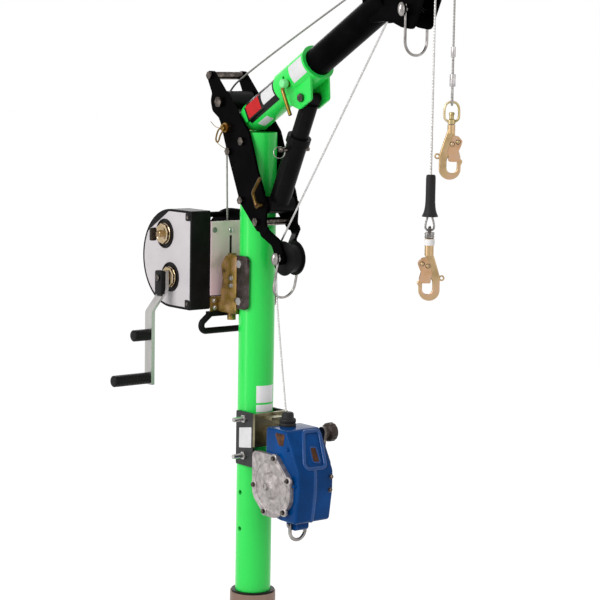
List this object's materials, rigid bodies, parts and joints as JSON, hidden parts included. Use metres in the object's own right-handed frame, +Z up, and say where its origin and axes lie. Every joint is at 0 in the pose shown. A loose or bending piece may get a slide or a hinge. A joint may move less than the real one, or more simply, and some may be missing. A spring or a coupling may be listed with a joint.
{
  "type": "confined space davit",
  "caption": "Mast davit in a floor sleeve with a luffing boom on a strut, a crank winch, a self-retracting lifeline reel and two snap hooks on ropes over sheaves.",
  "frame": {"origin": "centre of the underside of the base plate, on the mast axis", "axes": "+Z up along the mast, +X the way the boom points, +Y to the far side, the crank being on the -Y side"},
  "size_m": [1.024, 0.45, 1.8797],
  "materials": {
    "green_paint": "satin",
    "black_paint": "satin",
    "yellow_zinc": "satin",
    "silver_steel": "satin",
    "dark_steel": "satin",
    "rope_steel": "satin",
    "white_plate": "satin",
    "blue_paint": "gloss",
    "cast_grey": "matt",
    "black_plastic": "matt",
    "black_rubber": "matt",
    "sleeve_steel": "satin",
    "sheave_plastic": "matt"
  },
  "bodies": {
    "base": {"base_plate": "sleeve_steel", "base_sleeve": "sleeve_steel", "sleeve_liner": "black_plastic"},
    "mast": {"mast_tube": "green_paint", "knee_plate_near": "black_paint", "knee_plate_far": "black_paint", "knee_bolts": "dark_steel", "boom_pivot_pin": "yellow_zinc", "strut_pivot_pin": "yellow_zinc", "foot_lock_pin": "silver_steel", "winch_housing": "black_paint", "winch_face": "white_plate", "winch_end_plate": "black_paint", "winch_mount_plate": "silver_steel", "winch_free_hub": "yellow_zinc", "winch_free_cap": "black_plastic", "winch_carry_handle": "black_paint", "winch_clamp_plates": "dark_steel", "winch_latch": "yellow_zinc", "bracket_bolts": "silver_steel", "lifeline_side_plates": "dark_steel", "lifeline_cross_plate": "yellow_zinc", "lifeline_housing": "blue_paint", "lifeline_cover": "cast_grey", "lifeline_neck": "black_plastic", "lifeline_ring": "silver_steel", "winch_rope_rise": "rope_steel", "lifeline_rise": "rope_steel"},
    "drum": {"winch_drum": "silver_steel"},
    "crank": {"crank_hub": "yellow_zinc", "crank_arm": "silver_steel", "crank_cap": "black_plastic", "crank_grips": "black_rubber"},
    "lifeline_crank": {"lifeline_crank_arm": "black_plastic", "lifeline_crank_knob": "black_plastic"},
    "mast_sheave": {"mast_sheave": "sheave_plastic"},
    "foot_sheave": {"foot_sheave": "sheave_plastic"},
    "head_sheave_upper": {"head_sheave_upper": "sheave_plastic"},
    "head_sheave_lower": {"head_sheave_lower": "sheave_plastic"},
    "boom": {"boom_socket": "green_paint", "boom_tube": "black_paint", "head_plates": "black_paint", "boom_bolts": "dark_steel", "boom_lock_knob": "yellow_zinc", "head_lock_pin": "silver_steel", "winch_rope_boom": "rope_steel", "lifeline_boom": "rope_steel"},
    "strut_lower": {"strut_lower": "black_paint", "strut_lock_pin": "yellow_zinc"},
    "strut_upper": {"strut_upper": "black_paint"},
    "winch_fall": {"winch_line": "rope_steel"},
    "winch_hook": {"winch_hook": "yellow_zinc"},
    "winch_gate": {"winch_hook_gate": "yellow_zinc"},
    "lifeline_fall": {"lifeline_line": "rope_steel", "lifeline_bumper": "black_rubber"},
    "lifeline_hook": {"lifeline_hook": "yellow_zinc"},
    "lifeline_gate": {"lifeline_hook_gate": "yellow_zinc"}
  },
  "joints": [
    {"name": "mast_swivel", "type": "hinge", "parent": "base", "child": "mast", "pos_m": [0, 0, 0.26], "axis": [0, 0, 1], "continuous": true},
    {"name": "boom_luff", "type": "hinge", "parent": "mast", "child": "boom", "pos_m": [-0.062, 0, 1.417], "axis": [0, -1, 0], "range_deg": [0, 15], "deforming": ["winch_rope_boom", "lifeline_boom"]},
    {"name": "strut_swing", "type": "hinge", "parent": "mast", "child": "strut_lower", "pos_m": [0.08, 0, 1.236], "axis": [0, -1, 0], "range_deg": [0, 9.29]},
    {"name": "strut_extend", "type": "slide", "parent": "strut_lower", "child": "strut_upper", "axis": [0.4186, 0, 0.9081], "range_m": [0, 0.0518]},
    {"name": "winch_crank_turn", "type": "hinge", "parent": "mast", "child": "crank", "pos_m": [-0.186, -0.15, 1.041], "axis": [0, -1, 0], "continuous": true},
    {"name": "winch_drum_turn", "type": "hinge", "parent": "mast", "child": "drum", "pos_m": [-0.184, 0, 1.088], "axis": [0, -1, 0], "continuous": true},
    {"name": "lifeline_crank_turn", "type": "hinge", "parent": "mast", "child": "lifeline_crank", "pos_m": [0.16, 0.05, 0.564], "axis": [0, -1, 0], "continuous": true},
    {"name": "mast_sheave_turn", "type": "hinge", "parent": "mast", "child": "mast_sheave", "pos_m": [-0.09, 0, 1.479], "axis": [0, -1, 0], "continuous": true},
    {"name": "foot_sheave_turn", "type": "hinge", "parent": "mast", "child": "foot_sheave", "pos_m": [0.1255, 0, 1.109], "axis": [0, -1, 0], "continuous": true},
    {"name": "head_upper_turn", "type": "hinge", "parent": "boom", "child": "head_sheave_upper", "pos_m": [0.6616, 0, 1.8417], "axis": [0, -1, 0], "continuous": true},
    {"name": "head_lower_turn", "type": "hinge", "parent": "boom", "child": "head_sheave_lower", "pos_m": [0.59419, 0, 1.77045], "axis": [0, -1, 0], "continuous": true},
    {"name": "winch_fall_hang", "type": "hinge", "parent": "boom", "child": "winch_fall", "pos_m": [0.6616, 0, 1.8417], "axis": [0, -1, 0], "range_deg": [-15, 0]},
    {"name": "lifeline_fall_hang", "type": "hinge", "parent": "boom", "child": "lifeline_fall", "pos_m": [0.59419, 0, 1.77045], "axis": [0, -1, 0], "range_deg": [-15, 0]},
    {"name": "winch_hook_swivel", "type": "hinge", "parent": "winch_fall", "child": "winch_hook", "pos_m": [0.69559, -0.011, 1.4514], "axis": [0, 0, 1], "continuous": true},
    {"name": "lifeline_hook_swivel", "type": "hinge", "parent": "lifeline_fall", "child": "lifeline_hook", "pos_m": [0.63419, -0.011, 1.1984], "axis": [0, 0, 1], "continuous": true},
    {"name": "winch_gate_open", "type": "hinge", "parent": "winch_hook", "child": "winch_gate", "pos_m": [0.69715, -0.00904, 1.412], "axis": [-0.7826, 0.6225, 0], "range_deg": [0, 22], "stiffness_Nm_per_rad": 0.05, "springref_deg": -17.19},
    {"name": "lifeline_gate_open", "type": "hinge", "parent": "lifeline_hook", "child": "lifeline_gate", "pos_m": [0.63263, -0.01296, 1.14], "axis": [0.7826, -0.6225, 0], "range_deg": [0, 22], "stiffness_Nm_per_rad": 0.05, "springref_deg": -17.19}
  ],
  "couplings": [
    {"joint": "strut_swing", "follows": "boom_luff", "ratio": 0.616},
    {"joint": "strut_extend", "follows": "boom_luff", "m_per_rad": 0.197},
    {"joint": "winch_fall_hang", "follows": "boom_luff", "ratio": -1},
    {"joint": "lifeline_fall_hang", "follows": "boom_luff", "ratio": -1},
    {"joint": "winch_drum_turn", "follows": "winch_crank_turn", "ratio": -0.2}
  ]
}
